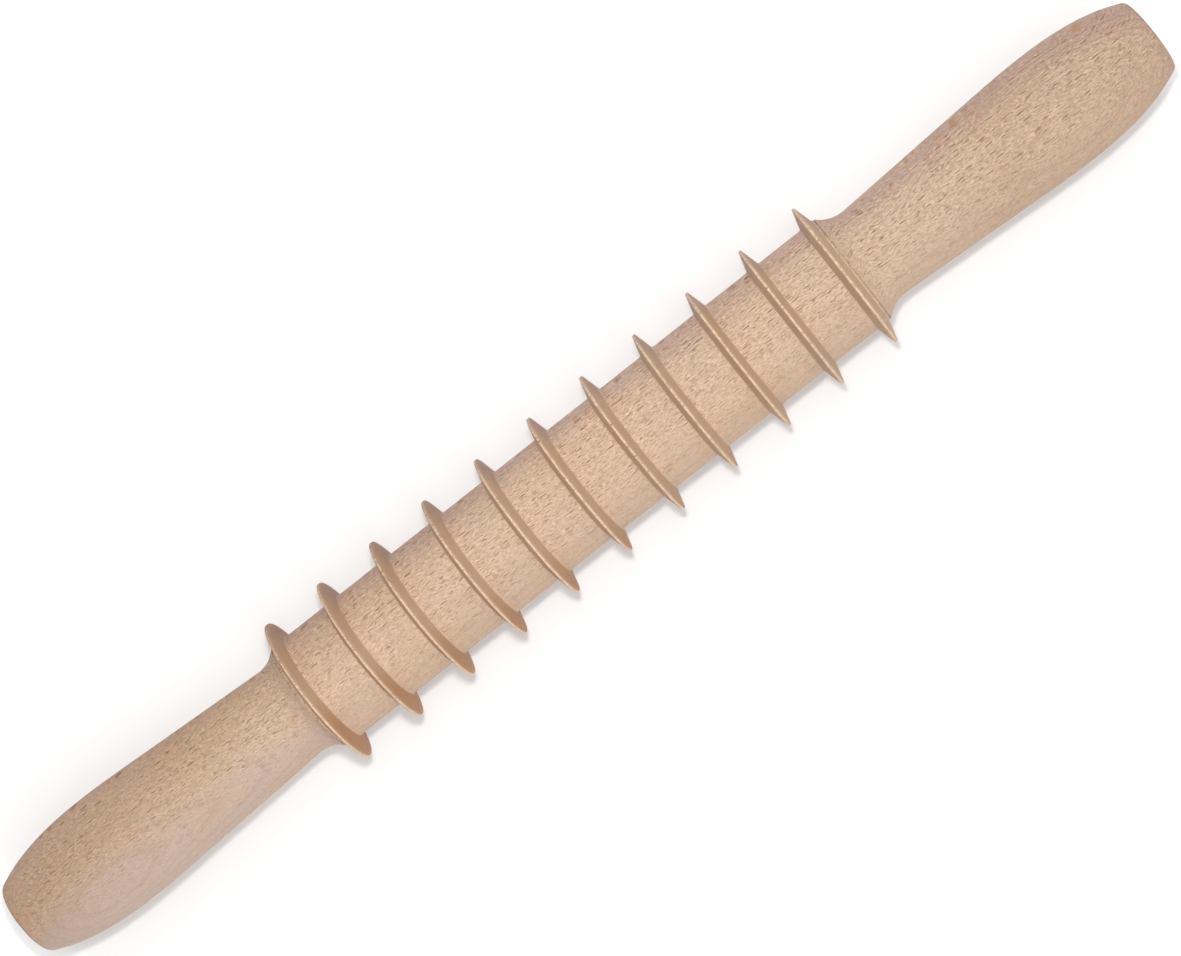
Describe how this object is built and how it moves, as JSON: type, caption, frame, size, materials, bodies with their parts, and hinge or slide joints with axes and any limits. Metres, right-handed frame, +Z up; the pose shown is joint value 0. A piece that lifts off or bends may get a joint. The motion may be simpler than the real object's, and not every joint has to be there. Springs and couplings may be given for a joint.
{
  "type": "ribbed rolling pin",
  "caption": "Turned wooden rolling pin: a straight barrel with evenly spaced sharp rings that cut rolled dough into strips, and a swelling grip at each end.",
  "frame": {"origin": "on the pin's axis, halfway along it", "axes": "+X along the axis towards handle_right, +Z up with the pin lying on its rings"},
  "size_m": [0.32, 0.0374, 0.0374],
  "materials": {
    "barrel_beech": "bare, finely sanded beech",
    "ring_beech": "bare turned beech, mostly end grain, a little darker",
    "handle_beech": "bare, finely sanded beech"
  },
  "bodies": {
    "root": {"barrel": "barrel_beech", "ring_01": "ring_beech", "ring_02": "ring_beech", "ring_03": "ring_beech", "ring_04": "ring_beech", "ring_05": "ring_beech", "ring_06": "ring_beech", "ring_07": "ring_beech", "ring_08": "ring_beech", "ring_09": "ring_beech", "ring_10": "ring_beech", "ring_11": "ring_beech", "handle_left": "handle_beech", "handle_right": "handle_beech"}
  },
  "joints": []
}
